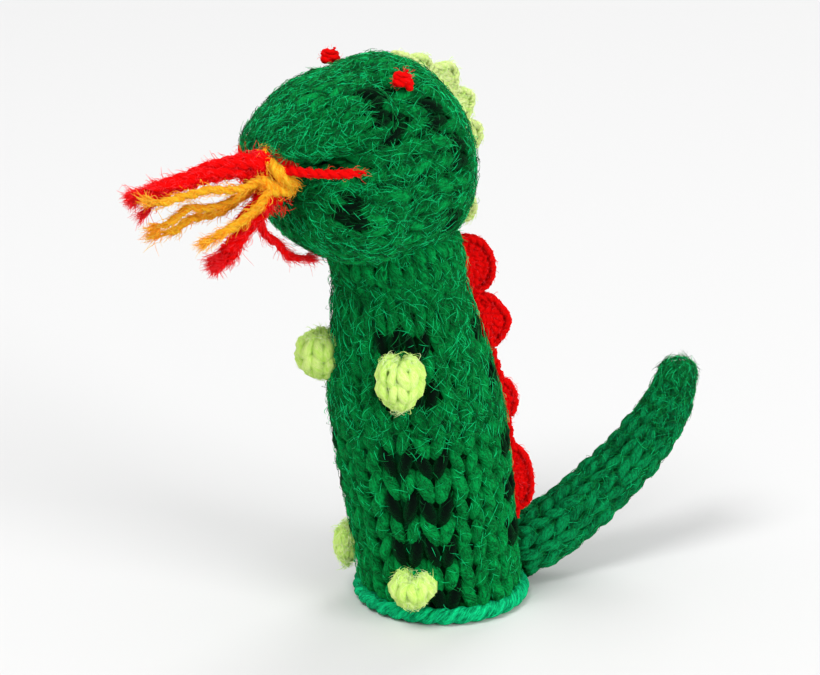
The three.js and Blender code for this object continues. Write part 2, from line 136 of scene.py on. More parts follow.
# The fuzz: how many fibres, their length, how far they lift off, and their radius.
Fuzz = namedtuple("Fuzz", "count length lift radius")
LOW_SLEEVE_FUZZ = Fuzz(2600, 1.7, 0.16, 0.04)
HIGH_SLEEVE_FUZZ = Fuzz(4400, 2.3, 0.22, 0.045)
FOLD_FUZZ = Fuzz(2600, 2.2, 0.25, 0.045)
SKULL_FUZZ = Fuzz(6500, 2.1, 0.2, 0.042)
SNOUT_FUZZ = Fuzz(7200, 1.8, 0.18, 0.042)
JAW_FUZZ = Fuzz(5200, 1.9, 0.18, 0.042)
TAIL_FUZZ = Fuzz(2800, 2.0, 0.15, 0.04)
BOBBLE_FUZZ = Fuzz(1100, 1.6, 0.25, 0.04)
EYE_FUZZ = Fuzz(60, 1.2, 0.4, 0.03)
SPINE_FUZZ = Fuzz(110, 0.9, 0.2, 0.04)
CREST_FUZZ = Fuzz(110, 1.0, 0.3, 0.04)
MOUTH_YARN_FUZZ = Fuzz(90, 1.4, 0.35, 0.03)
KNOT_FUZZ = Fuzz(700, 1.6, 0.3, 0.04)
FLAME_FUZZ = Fuzz(420, 1.7, 0.35, 0.04)
FLAME_TUFT = Fuzz(105, 2.0, 0.35, 0.04)
BLACK_FUZZ = 0.05  # share of the fuzz that is left on black stitches
HAIR_POINTS = 5
HAIR_SIDES = 3

# Plied yarn.
YARN_SAMPLES = 3.0  # points for each mm of length
LOOP_TWIST = 0.9  # radians that a loop's fibres turn for each mm
PLY_TWIST = -1.5
EYE_YARN = 1.45
SPINE_YARN = 1.25
SPINE_CHAIN_YARN = 1.15
CREST_YARN = 1.15
CREST_CHAIN_YARN = 1.05
MOUTH_YARN_DIAMETER = 1.5

# Bobbles: name, bearing, height, half width, half height, and how far they stand out.
BOBBLES = [
    ("left_arm", 48, 40, 3.75, 5.1, 3.1), ("right_arm", -30, 40.4, 4.0, 4.5, 3.3),
    ("left_foot", 38, 6.4, 3.6, 3.6, 3.1), ("right_foot", -38, 8.2, 3.7, 4.1, 1.5),
]
# Scallops of the spine: height, half length, and how far they stand out.
SPINE_BEARING = 157.0
SPINE_SPAN = (11.5, 56.5)  # heights between which its chain runs
SPINE_SCALLOPS = [(53.4, 4.9, 4.9), (44.4, 4.5, 4.4), (31.6, 3.6, 2.3), (18.5, 5.7, 3.4)]
# Scallops of the crest: y, z and radius.
CREST_SCALLOPS = [
    (-4.4, 82.3, 2.8), (-0.1, 80.3, 3.2), (2.6, 76.4, 3.2), (4.3, 71.6, 3.0), (3.9, 60.9, 2.4),
]

# The roll of knitting under the head, and the yarn inside it that gathers the sleeve's top.
FOLD_HEIGHT = 55.4
FOLD_HALF_HEIGHT = 4.0
FOLD_RADIUS = 7.8
FOLD_BULGE = 2.0
NECK_YARN_RING = 8.3
NECK_YARN_WAVES = 12
NECK_YARN_RADIUS = 0.5
NECK_YARN_WINDING = 0.35

# The flame's yarn ends: name, colour, body, (yarns, their diameter, and how far they lie from the
# end's middle at the knot and at the tip), and the end's route.
FLAME_ENDS = [
    ("flame_red_upper", "red", "flame_upper", (5, 1.5, 1.4, 0.4), [
        (1.5, -31.5, 72.6), (1.5, -33.7, 73.1), (1.5, -36.5, 73.8), (1.5, -41.5, 73.5),
        (1.5, -46, 72.7), (1.5, -49.6, 72.3), (1.2, -51.6, 72.0)]),
    ("flame_red_middle", "red", "flame_upper", (1, 1.4, 0.2, 0.4), [
        (0.2, -31.5, 72.3), (-0.9, -33.6, 72.6), (-0.9, -38, 72.4), (-0.8, -44.5, 71.6),
        (-0.6, -48, 70.6), (-0.5, -50, 69.4)]),
    ("flame_orange_upper", "orange", "flame_upper", (1, 1.25, 0.25, 0.5), [
        (2.4, -31.7, 71.4), (3.2, -33.6, 71.2), (3.3, -37.5, 70.6), (3.3, -42, 71.3), (3.3, -46, 71),
        (3.3, -49.4, 70.6), (3.3, -51.2, 71.0)]),
    ("flame_orange_middle", "orange", "flame_upper", (1, 1.2, 0.25, 0.6), [
        (1.5, -31.7, 70.8), (1.2, -33.7, 69.9), (1.2, -38, 68.2), (1.2, -41, 68.4), (1.2, -44.2, 69),
        (1.2, -46.2, 67.8), (1.2, -49, 67.7)]),
    ("flame_orange_lower", "orange", "flame_upper", (1, 1.2, 0.25, 0.5), [
        (0.4, -31.6, 70.4), (-1, -33.4, 68.9), (-1.3, -38.3, 66.4), (-1.3, -42.2, 66.2),
        (-1.3, -44.6, 64.9), (-1.3, -47.5, 64.7)]),
    ("flame_orange_short", "orange", "flame_upper", (1, 1.35, 0.2, 0.3), [
        (2.9, -31.6, 70.8), (4.5, -33.7, 69.3), (4.3, -36.5, 66.9), (4.1, -39.4, 65.6),
        (4, -42.6, 64.8)]),
    ("flame_red_lower", "red", "flame_lower", (5, 1.5, 1.25, 0.6), [
        (2, -31.2, 70.2), (2.9, -32.9, 68.4), (2.7, -34.8, 66.5), (2.5, -36.4, 64.7), (2.5, -38, 62.9),
        (2.5, -38.9, 61.5), (2.5, -40.0, 61.0)]),
    ("chin_yarn", "red", "jaw", (1, 1.35, 0.1, 0.1), [
        (1.2, -30.6, 69.6), (0.6, -31, 67.7), (1, -32.3, 65.4), (1, -31.4, 63), (1, -29.3, 61.1),
        (1, -27.4, 59), (1, -24.6, 58.2)]),
]
# The yarn along the left side of the mouth, and where each side's yarn leaves the knot.
MOUTH_YARN = [
    (6, -30.2, 73.1), (8, -29.2, 73.1), (10.6, -27.0, 73.1), (12.3, -24.4, 73.1), (12.8, -22.6, 73.1),
]
LEFT_MOUTH_START = [(2.6, -31.0, 72.8)]
RIGHT_MOUTH_START = [(-0.4, -31.0, 72.8), (-3, -30.8, 73.1)]

# The knot's two yarns, as points (right, up, towards) from its middle, where right, up and towards
# are the rows of KNOT_AXES: the knot's face is turned to the dragon's left and front.
KNOT_CENTRE = (1.5, -30.6, 71.9)
KNOT_AXES = [(0.59, 0.81, 0.0), (0.0, 0.0, 1.0), (0.81, -0.59, 0.0)]
KNOT_RED = [
    (2.6, 0.9, -0.4), (1.6, 2.2, 1.0), (-0.6, 2.4, 1.6), (-2.6, 1.6, 1.2), (-3.0, -0.2, 0.4),
    (-1.6, -1.8, -1.0), (0.6, -2.0, -1.6), (2.0, -0.6, -1.8), (1.2, 1.4, -1.2), (-0.8, 1.0, 0.4),
    (-1.0, -1.2, 1.6), (0.4, -2.8, 1.8), (0.9, -4.0, 1.0),
]
KNOT_ORANGE = [
    (-2.0, -1.6, -1.6), (0.6, 0.0, -2.8), (1.6, 2.0, -2.0), (0.6, 3.4, -0.4), (-0.6, 3.3, 1.2),
    (0.3, 1.9, 2.5), (1.6, 0.4, 3.0), (2.9, -0.8, 2.4), (2.5, -1.9, 1.8), (0.8, -1.7, 2.8),
    (-0.8, -0.7, 2.9), (-2.0, -0.6, 2.2), (-3.0, -1.2, 1.0),
]

CAMERA_AZIMUTH = 54.0
CAMERA_ELEVATION = 18.5
CAMERA_DISTANCE = 430.0
CAMERA_AIM = (-12.76, 3.57, 37.13)
CAMERA_LENS = 122.7
LIGHT_AIM = (0, -4, 45)
LIGHT_DISTANCE = 2.4  # in metres, as are the lights' sizes
FLOOR_REACH = 4.0  # in metres

rng = np.random.default_rng(7)

# ---- placing and small maths

rim_low, rim_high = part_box("cast_on_edge")
SHIFT = np.array([
    (rim_low.x + rim_high.x) / 2 / MM,
    (rim_low.y + rim_high.y) / 2 / MM - (AXIS_START_Y - LEAN * RIM_MIDDLE),
    rim_low.z / MM,
])


def place(points):
    """Points in model millimetres as points in the frame, in metres."""
    return (np.asarray(points, float) + SHIFT) * MM


def unit(vectors):
    return vectors / np.maximum(np.linalg.norm(vectors, axis=-1, keepdims=True), 1e-9)


def smooth_curve(values, at):
    """A smooth curve through rows of values, at positions counted in rows."""
    values = np.asarray(values, float)
    slopes = np.gradient(values, axis=0)
    at = np.clip(np.asarray(at, float), 0, len(values) - 1)
    low = np.minimum(at.astype(int), len(values) - 2)
    t = (at - low)[..., None]
    h00, h10 = 2 * t**3 - 3 * t**2 + 1, t**3 - 2 * t**2 + t
    h01, h11 = -2 * t**3 + 3 * t**2, t**3 - t**2
    return h00 * values[low] + h10 * slopes[low] + h01 * values[low + 1] + h11 * slopes[low + 1]


def bearing_direction(bearing):
    """Horizontal unit vector at a bearing from the snout, in degrees."""
    angle = np.radians(bearing)
    return np.stack([np.sin(angle), -np.cos(angle), 0 * angle], -1)


def sideways(out):
    """The horizontal direction that is square to another one."""
    return np.array([-out[1], out[0], 0])


def axis_point(z):
    """The point of the body's leaning axis at a height."""
    return np.stack([0 * z, AXIS_START_Y - LEAN * z, z], -1)


# ---- forms: (along, round) -> point

def body_radius(z):
    rows = np.interp(z, BODY_HEIGHTS, np.arange(len(BODY_HEIGHTS)))
    return SLEEVE_RADIUS * smooth_curve(np.array(BODY_SHARES)[:, None], rows)[..., 0]


def body_form(z, turn):
    """along is the height, and turn the share of a turn from FIRST_WALE."""
    bearing = FIRST_WALE + 360 * turn + SPIRAL * (z - 15)
    point = bearing_direction(bearing) * body_radius(z)[..., None]
    return point + axis_point(z)


def section_form(stations):
    """A form with rounded-square sections through head stations; along runs from 0 to 1."""
    def squared(wave):
        return np.sign(wave) * np.abs(wave) ** (2 / SECTION_SQUARENESS)

    def form(along, turn):
        y, low, high, half = np.moveaxis(smooth_curve(stations, along * (len(stations) - 1)), -1, 0)
        angle = -TWO_PI * turn
        side = np.maximum(half, 0) * squared(np.sin(angle))
        rise = np.maximum(high - low, 0) / 2 * squared(np.cos(angle))
        return np.stack([side, y, (high + low) / 2 + rise], -1)
    return form


def tail_form(along, turn):
    distance, z, radius = np.moveaxis(smooth_curve(TAIL, along * (len(TAIL) - 1)), -1, 0)
    step = 1e-3
    ahead = smooth_curve(TAIL, np.minimum(along + step, 1) * (len(TAIL) - 1))
    behind = smooth_curve(TAIL, np.maximum(along - step, 0) * (len(TAIL) - 1))
    run, rise = ahead[..., 0] - behind[..., 0], ahead[..., 1] - behind[..., 1]
    size = np.maximum(np.hypot(run, rise), 1e-9)
    out = bearing_direction(TAIL_BEARING)
    side = sideways(out)
    up = -(rise / size)[..., None] * out + (run / size)[..., None] * UP
    angle = -TWO_PI * turn
    centre = distance[..., None] * out + np.stack([0 * z, 0 * z, z], -1)
    ring = np.sin(angle)[..., None] * side + np.cos(angle)[..., None] * up
    return centre + np.maximum(radius, 0.3)[..., None] * ring


def bobble_form(bearing, z, half_width, half_height, depth):
    """An upright egg on the body's surface, closing at its top and bottom."""
    out = bearing_direction(bearing)
    side = sideways(out)
    centre = out * (body_radius(z) + 0.8) + axis_point(z)

    def form(along, turn):
        polar = np.pi * along
        angle = TWO_PI * turn
        high = -np.cos(polar)
        width = np.sin(polar) * (1 + 0.22 * high)
        across = half_width * width * np.sin(angle)
        notch = 1.6 * np.exp(-(across / 1.1) ** 2) * np.clip(high, 0, 1) ** 4
        ring = across[..., None] * side + (depth * np.sin(polar) * np.cos(angle))[..., None] * out
        return centre + ring + (half_height * high - notch)[..., None] * UP
    return form


def surface_frame(form, along, turn, step):
    """Points of a form, the outward normals there, and the form's length round it there."""
    points = form(along, turn)
    d_along = form(along + step, turn) - form(along - step, turn)
    d_turn = form(along, turn + 1e-3) - form(along, turn - 1e-3)
    return points, unit(np.cross(d_turn, d_along)), np.linalg.norm(d_turn, axis=-1) / 2e-3


# ---- meshes

def new_mesh(name, vertices, quads, caps, materials, attributes=None, face_material=None):
    """A smooth mesh object from arrays: vertices in mm, quads (n, 4) and caps, a list of (m, k)."""
    mesh = bpy.data.meshes.new(name)
    mesh.vertices.add(len(vertices))
    mesh.vertices.foreach_set("co", place(vertices).astype(np.float32).ravel())
    faces = [np.asarray(f, np.int32) for f in [quads, *caps] if len(f)]
    loops = np.concatenate([f.ravel() for f in faces])
    sizes = np.concatenate([np.full(len(f), f.shape[1], np.int32) for f in faces])
    starts = (np.cumsum(sizes) - sizes).astype(np.int32)
    mesh.loops.add(len(loops))
    mesh.loops.foreach_set("vertex_index", loops)
    mesh.polygons.add(len(sizes))
    mesh.polygons.foreach_set("loop_start", starts)
    mesh.polygons.foreach_set("use_smooth", np.ones(len(sizes), bool))
    if face_material is not None:
        mesh.polygons.foreach_set("material_index", np.asarray(face_material, np.int32))
    for key, values in (attributes or {}).items():
        values = np.asarray(values, np.float32)
        kind = "FLOAT" if values.ndim == 1 else "FLOAT_VECTOR"
        layer = mesh.attributes.new(key, kind, "POINT")
        layer.data.foreach_set("value" if values.ndim == 1 else "vector", values.ravel())
    for material in materials:
        mesh.materials.append(material)
    mesh.update(calc_edges=True)
    mesh.validate()
    piece = bpy.data.objects.new(name, mesh)
    bpy.context.scene.collection.objects.link(piece)
    return piece


def quads_between(low, high):
    """Quads between rows of vertices and the rows after them, closed round each row."""
    return np.stack([low, np.roll(low, -1, -1), np.roll(high, -1, -1), high], -1).reshape(-1, 4)


def tubes(paths, normals, radii, sides, closed, twist=LOOP_TWIST):
    """Tubes along paths (m, k, 3), as vertices, quads, caps and the yarn's own coordinates.

    The yarn coordinates hold the length along the yarn, and the cosine and sine of the angle
    round it, turned along with the yarn's twist.
    """
    count, length = paths.shape[:2]
    if closed:
        tangents = np.roll(paths, -1, 1) - np.roll(paths, 1, 1)
    else:
        tangents = np.gradient(paths, axis=1)
    tangents = unit(tangents)
    outward = unit(normals - (normals * tangents).sum(-1, keepdims=True) * tangents)
    across = np.cross(tangents, outward)
    angle = TWO_PI * np.arange(sides) / sides
    ring = (np.cos(angle)[:, None] * outward[:, :, None, :]
            + np.sin(angle)[:, None] * across[:, :, None, :])
    vertices = paths[:, :, None, :] + radii[:, :, None, None] * ring
    steps = np.linalg.norm(np.diff(paths, axis=1), axis=-1)
    run = np.concatenate([np.zeros((count, 1)), np.cumsum(steps, 1)], 1)
    run = run + rng.uniform(0, 100, (count, 1))
    turned = angle[None, None, :] + twist * run[:, :, None]
    yarn = np.stack([np.broadcast_to(run[:, :, None], turned.shape), np.cos(turned), np.sin(turned)], -1)
    index = np.arange(count * length * sides).reshape(count, length, sides)
    here = index if closed else index[:, :-1]
    ahead = np.roll(index, -1, 1) if closed else index[:, 1:]
    caps = [] if closed else [np.concatenate([index[:, 0, ::-1], index[:, -1]])]
    return vertices.reshape(-1, 3), quads_between(here, ahead), caps, yarn.reshape(-1, 3)


def join(parts):
    """Several (vertices, quads, caps, yarn data) as one, with the faces renumbered."""
    vertices, quads, caps, data = zip(*parts)
    offsets = np.cumsum([0, *map(len, vertices)])
    quads = [faces + offset for faces, offset in zip(quads, offsets)]
    caps = [cap + offset for some, offset in zip(caps, offsets) for cap in some]
    return np.concatenate(vertices), np.concatenate(quads), caps, np.concatenate(data)


def closed_grid(points):
    """Rows of points (rows, around, 3) as vertices, quads, and the caps of the two ends."""
    rows, around = points.shape[:2]
    index = np.arange(rows * around).reshape(rows, around)
    quads = quads_between(index[:-1], index[1:])
    return points.reshape(-1, 3), quads, [np.stack([index[0, ::-1], index[-1]])]


def form_grid(form, first, last, rows, around, step):
    """A grid over a form: how far along and round it each point is, the points and the normals."""
    along, turn = np.meshgrid(np.linspace(first, last, rows), np.arange(around) / around, indexing="ij")
    return (along, turn, *surface_frame(form, along, turn, step))


def inset(points, normals, girth, depth):
    """Points moved in under a form's surface, but never past its middle."""
    return points - normals * np.minimum(depth, 0.8 * girth / TWO_PI)[..., None]


def undyed(vertices):
    """Yarn data for plain cloth: its own places as the yarn's coordinates, undyed, and in full painted
    shade.
    """
    return np.concatenate([vertices, np.tile([0.0, 1.0], (len(vertices), 1))], 1)


def stuffing(form, first, last, depth):
    """A lumpy wad of loose fibre that fills a form up to this far under its surface."""
    along, turn, points, normals, girth = form_grid(form, first, last, 36, 40, FORM_STEP)
    lumps = np.sin(31 * along + 2 * np.sin(3 * TWO_PI * turn)) * np.cos(5 * TWO_PI * turn + 9 * along)
    vertices, quads, caps = closed_grid(inset(points, normals, girth, depth + 0.4 * lumps))
    return vertices, quads, caps, vertices


# A piece of knitting: a form and the stretch of it that is knitted, stitches round it, a course's
# height, the dye of each stitch, and the step along the form that is used for its slopes.
Cloth = namedtuple("Cloth", "form first last stitches course dye step")


def courses(cloth):
    """How many courses the cloth has, places along its form, and the course that each is in."""
    along = np.linspace(cloth.first, cloth.last, 240)
    paths = np.stack([cloth.form(along, np.full_like(along, turn)) for turn in (0.2, 0.3, 0.7, 0.8)])
    run = np.linalg.norm(np.diff(paths, axis=1), axis=-1).mean(0)
    run = np.concatenate([[0], np.cumsum(run)])
    rows = max(1, round(run[-1] / cloth.course))
    return rows, along, run / run[-1] * rows


def knit(cloth, radius, depth, samples=16, sides=8):
    """Courses of interlocked loops over a form, as tubes whose yarn data ends with dye and depth, the
    share of painted shade.
    """
    rows, places, numbers = courses(cloth)
    stitches = cloth.stitches
    row, stitch, sample = np.meshgrid(
        np.arange(rows), np.arange(stitches), np.arange(samples), indexing="ij")
    angle = TWO_PI * sample / samples - np.pi
    uneven = rng.normal(0, 1, (4, rows, stitches))[..., None] * np.ones(samples)
    across = stitch + sample / samples + LOOP_SLANT * np.sin(2 * angle) * (1 + 0.12 * uneven[0])
    along = row + 0.5 + LOOP_REACH * np.cos(angle) + 0.04 * uneven[1]
    out = -LOOP_DEPTH * np.cos(2 * angle) * (1 + 0.15 * uneven[2])
    shape = (rows, stitches * samples)
    turn = (across / stitches).reshape(shape)
    along = np.interp(np.clip(along, 0.02, rows - 0.02), numbers, places).reshape(shape)
    points, normals, girth = surface_frame(cloth.form, along, turn, cloth.step)
    scale = np.clip(girth / stitches / (cloth.course * 1.4), 0.3, 1.0)
    paths = points + normals * ((out.reshape(shape) * scale - depth)[..., None])
    thick = radius * (1 + 0.07 * uneven[3]) * (1 - 0.1 * np.cos(2 * angle))
    thick = thick.reshape(shape) * scale
    vertices, quads, caps, yarn = tubes(paths, normals, thick, sides, closed=True)
    dyes = np.repeat(cloth.dye(row, stitch).astype(float).reshape(-1), sides)
    # Painted shade: the share of darkening, most where the loop dips deepest into the cloth.
    deep = np.repeat(np.clip(0.5 + 0.8 * np.cos(2 * angle), 0, 1).reshape(-1), sides)
    return vertices, quads, caps, np.concatenate([yarn, dyes[:, None], deep[:, None]], 1)


def lining(form, depth, first=0.004, last=0.996, around=48, rows=40):
    """The cloth between the loops: one closed sheet under the knitting, closing at both ends."""
    _, _, points, normals, girth = form_grid(form, first, last, rows, around, FORM_STEP)
    vertices, quads, caps = closed_grid(inset(points, normals, girth, depth))
    return vertices, quads, caps, undyed(vertices)


def tube_wall(cloth, depths, around=64, rows=30):
    """An open-ended tube of plain cloth between two depths under a form."""
    _, _, points, normals, _ = form_grid(cloth.form, cloth.first, cloth.last, rows, around, cloth.step)
    outer, inner = depths
    loop = np.concatenate([points - normals * outer, (points - normals * inner)[::-1]])
    index = np.arange(2 * rows * around).reshape(2 * rows, around)
    vertices = loop.reshape(-1, 3)
    return vertices, quads_between(index, np.roll(index, -1, 0)), [], undyed(vertices)


def fibres(cloth, fuzz, first=None, last=None, keep=None):
    """Loose fibres over knitting: thin closed hairs that lie along the wales and lift off a little."""
    first = cloth.first if first is None else first
    last = cloth.last if last is None else last
    tries = 3 * fuzz.count
    along = rng.uniform(first, last, tries)
    turn = rng.uniform(0, 1, tries)
    points, normals, girth = surface_frame(cloth.form, along, turn, cloth.step)
    wales = unit(cloth.form(along + cloth.step, turn) - cloth.form(along - cloth.step, turn))
    wales = wales * rng.choice([-1.0, 1.0], (tries, 1))
    _, places, numbers = courses(cloth)
    course = np.floor(np.interp(along, places, numbers))
    dyed = cloth.dye(course, np.floor(turn * cloth.stitches))
    chosen = rng.uniform(0, girth.max(), tries) < girth
    chosen &= (dyed < 0.5) | (rng.uniform(0, 1, tries) < BLACK_FUZZ)
    if keep is not None:
        chosen &= keep(points)
    chosen = np.flatnonzero(chosen)[:fuzz.count]
    curve = np.maximum(girth[chosen] / TWO_PI, 2.0)
    return hairs(points[chosen], normals[chosen], fuzz, wales[chosen], 0.9, curve)


def hairs(points, normals, fuzz, along, spread, curve=None):
    """Hairs that start at points and run along a direction, give or take their spread.

    Where the surface's radius of curve is given, they bend down over it.
    """
    count = len(points)
    stray = unit(np.cross(normals, rng.normal(0, 1, (count, 3))))
    heading = unit(along + spread * stray)
    bend = unit(np.cross(normals, heading)) * rng.normal(0, 0.35, (count, 1))
    reach = fuzz.length * rng.uniform(0.4, 1.3, (count, 1))
    rise = fuzz.lift * rng.gamma(1.3, 0.6, (count, 1))
    steps = np.linspace(0, 1, HAIR_POINTS)[:, None, None]
    paths = points + reach * (steps * heading + steps**2 * bend)
    paths = paths + normals * (rise * np.sin(steps * np.pi * 0.75) - 0.15)
    if curve is not None:
        across = 1 - 0.8 * (heading * along).sum(-1, keepdims=True) ** 2
        paths = paths - normals * across * (steps * reach) ** 2 / (2 * curve[:, None])
    paths = np.moveaxis(paths, 0, 1)
    taper = np.array([0.6, 1.0, 1.0, 0.8, 0.35])
    radii = fuzz.radius * rng.uniform(0.7, 1.25, (count, 1)) * taper
    guide = np.broadcast_to(normals[:, None, :], paths.shape)
    return tubes(paths, guide, radii, HAIR_SIDES, closed=False)


# A length of plied yarn: its mesh, and the points and directions of the line it follows.
Yarn = namedtuple("Yarn", "part line tangent")


def plied(points, diameter, pitch, plies=2, sides=7, taper=True):
    """Yarn along a smooth line through points: plies that wind round each other."""
    rough = smooth_curve(points, np.linspace(0, len(points) - 1, 200))
    run = np.concatenate([[0], np.cumsum(np.linalg.norm(np.diff(rough, axis=0), axis=1))])
    count = max(8, int(run[-1] * YARN_SAMPLES))
    distance = np.linspace(0, run[-1], count)
    line = np.stack([np.interp(distance, run, rough[:, axis]) for axis in range(3)], -1)
    tangent = unit(np.gradient(line, axis=0))
    guide = np.where(np.abs(tangent[:, 2:]) > 0.8, RIGHT, UP)
    first = unit(np.cross(tangent, guide))
    second = np.cross(tangent, first)
    radius = np.full(count, 0.34 * diameter)
    if taper:
        radius = radius * np.clip((run[-1] - distance) / (1.5 * diameter), 0.35, 1)
    parts = []
    for ply in range(plies):
        phase = TWO_PI * (distance / pitch + ply / plies)
        offset = 0.18 * diameter * (np.cos(phase)[:, None] * first + np.sin(phase)[:, None] * second)
        path = (line + offset)[None]
        parts.append(tubes(path, unit(offset)[None], radius[None], sides, closed=False, twist=PLY_TWIST))
    return Yarn(join(parts), line, tangent)


def yarn_hairs(yarn, fuzz, skin=0.5, tuft=None):
    """Loose fibres on a yarn whose skin is this far from its middle, and a frayed tuft at its end."""
    pick = rng.integers(0, len(yarn.line), fuzz.count)
    along = yarn.tangent[pick]
    normals = unit(np.cross(along, rng.normal(0, 1, (fuzz.count, 3))))
    parts = [hairs(yarn.line[pick] + normals * skin, normals, fuzz, along, 0.5)]
    if tuft:
        ends = yarn.line[-1] + rng.normal(0, 0.25, (tuft.count, 3))
        along = np.repeat(yarn.tangent[-1:], tuft.count, 0)
        normals = unit(np.cross(along, rng.normal(0, 1, (tuft.count, 3))))
        parts.append(hairs(ends, normals, tuft, along, 0.35))
    return join(parts)


# ---- materials

RELIEF = 0.6 * MM
# PLY_GROOVE also sets how much darker the grooves are painted: painted shade.
PLY_GROOVE = 0.06  # depth of the groove between plies, where streaks are 1 deep
DEEP_SHADE = (0.1, 0.3, 0.2)
BLACK_DYE = (0.0004, 0.002, 0.0015)


def set_sockets(node, values):
    for socket, value in values.items():
        node.inputs[socket].default_value = value


def shader_tree(name, sockets):
    """A new material, its node tree and its shader, with these values in the shader's sockets."""
    material = bpy.data.materials.new(name)
    material.use_nodes = True
    shader = material.node_tree.nodes["Principled BSDF"]
    set_sockets(shader, sockets)
    return material, material.node_tree, shader


def new_node(tree, kind, sockets, links, **settings):
    """A shader node with these settings, socket values and incoming links."""
    node = tree.nodes.new("ShaderNode" + kind)
    for key, value in settings.items():
        setattr(node, key, value)
    set_sockets(node, sockets)
    for socket, source in links.items():
        tree.links.new(source, node.inputs[socket])
    return node


def math_node(tree, operation, *values):
    """The result of a sum on numbers and other nodes' outputs."""
    fixed = {index: value for index, value in enumerate(values) if isinstance(value, float)}
    linked = {index: value for index, value in enumerate(values) if index not in fixed}
    return new_node(tree, "Math", fixed, linked, operation=operation).outputs[0]


def attribute(tree, name, output="Fac"):
    return new_node(tree, "Attribute", {}, {}, attribute_name=name).outputs[output]


def mixed(tree, colour, other, share, blend="MIX"):
    """A colour with this share of another one mixed in, or multiplied in."""
    mix = new_node(tree, "Mix", {"B": (*other, 1)}, {"Factor": share, "A": colour},
                   data_type="RGBA", blend_type=blend)
    return mix.outputs["Result"]


def two_tone(tree, height, dark, light, low=0.0, high=1.0):
    """A colour that runs from dark to light as the height runs from low to high."""
    ramp = new_node(tree, "ValToRGB", {}, {"Fac": height})
    for element, position, colour in zip(ramp.color_ramp.elements, (low, high), (dark, light)):
        element.position = position
        element.color = (*colour, 1)
    return ramp.outputs["Color"]


def finish_cloth(tree, shader, colour, height, strength):
    """Gives the shader its colour, and a relief that follows the height."""
    relief = new_node(tree, "Bump", {"Strength": strength, "Distance": RELIEF}, {"Height": height})
    tree.links.new(colour, shader.inputs["Base Color"])
    tree.links.new(relief.outputs["Normal"], shader.inputs["Normal"])


def wool(name, dark, light, dyed=None, with_painted_shade=False, sheen=0.2):
    """Plied wool: streaks of fibre and the grooves between plies, from the yarn's coordinates; the plies'
    relief is painted into the colour too, as painted shade in the grooves.

    It may turn another colour where it is dyed, and it gets painted shade, darker where it lies deep in
    the knitting.
    """
    material, tree, shader = shader_tree(name, {
        "Roughness": 0.9, "Specular IOR Level": 0.06, "Sheen Weight": sheen, "Sheen Roughness": 0.4,
        "Sheen Tint": (*[min(1, 2 * channel) for channel in light], 1)})
    yarn = attribute(tree, "yarn", "Vector")
    stretch = new_node(tree, "VectorMath", {1: (0.6, 1.7, 1.7)}, {0: yarn}, operation="MULTIPLY")
    streaks = new_node(
        tree, "TexNoise", {"Scale": 2.3, "Detail": 4.0, "Roughness": 0.7}, {"Vector": stretch.outputs[0]})
    # Three plies: cos(3a) = 4 cos(a)^3 - 3 cos(a), with cos(a) in the coordinates' second part.
    cosine = new_node(tree, "SeparateXYZ", {}, {0: yarn}).outputs["Y"]
    square = math_node(tree, "MULTIPLY", cosine, cosine)
    inner = math_node(tree, "MULTIPLY_ADD", square, 4.0, -3.0)
    ply = math_node(tree, "MULTIPLY", math_node(tree, "MULTIPLY", inner, cosine), PLY_GROOVE)
    height = math_node(tree, "ADD", streaks.outputs["Fac"], ply)
    # The colour follows the height, so it is darker in the grooves between plies and lighter on their
    # crowns: painted shade and painted light.
    colour = two_tone(tree, height, dark, light, 0.36, 0.66)
    # Painted shade: DEEP_SHADE multiplied in where the yarn lies deep.
    if with_painted_shade:
        deep = math_node(tree, "MULTIPLY", attribute(tree, "deep"), 0.85)
        colour = mixed(tree, colour, DEEP_SHADE, deep, "MULTIPLY")
    if dyed is not None:
        colour = mixed(tree, colour, dyed, attribute(tree, "dye"))
    finish_cloth(tree, shader, colour, height, 0.7)
    return material


def hair(name, colour, roughness=0.6):
    """Single fibres: too thin for a pattern, with the soft gleam of acrylic and wool."""
    return shader_tree(name, {
        "Base Color": (*colour, 1), "Roughness": roughness, "Specular IOR Level": 0.12,
        "Sheen Weight": 0.2, "Sheen Tint": (*colour, 1)})[0]


def stuffing_material():
    material, tree, shader = shader_tree("stuffing_fibre", {"Roughness": 0.95})
    position = new_node(tree, "TexCoord", {}, {}).outputs["Object"]
    noise = new_node(tree, "TexNoise", {"Scale": 900, "Detail": 5}, {"Vector": position})
    colour = two_tone(tree, noise.outputs["Fac"], (0.72, 0.70, 0.64), (0.93, 0.92, 0.88))
    finish_cloth(tree, shader, colour, noise.outputs["Fac"], 0.8)
    return material


# Both greens take painted shade where their yarn lies deep; linings and backings take it in full.
GREEN = wool("green_wool", (0.0, 0.06, 0.011), (0.0, 0.36, 0.07), dyed=BLACK_DYE, with_painted_shade=True)
GREEN_PLAIN = wool("green_wool_plain", (0.0, 0.05, 0.014), (0.001, 0.32, 0.09), with_painted_shade=True)
# Painted glow: the cast-on edge gets a brighter copy of the green wool, which stands in for the glow along
# the bottom edge.
GREEN_EDGE_GLOW = wool("green_wool_edge_glow", (0.0, 0.14, 0.05), (0.004, 0.72, 0.26))
STUFFING = stuffing_material()
# The light fibres are partly the wool's paler fibres and partly painted glints.
GREEN_HAIRS = [
    hair("green_fibre_dark", (0.0, 0.08, 0.02)), hair("green_fibre_mid", (0.0, 0.26, 0.05)),
    hair("green_fibre_pale_and_glint", (0.002, 0.66, 0.2), 0.5),
]

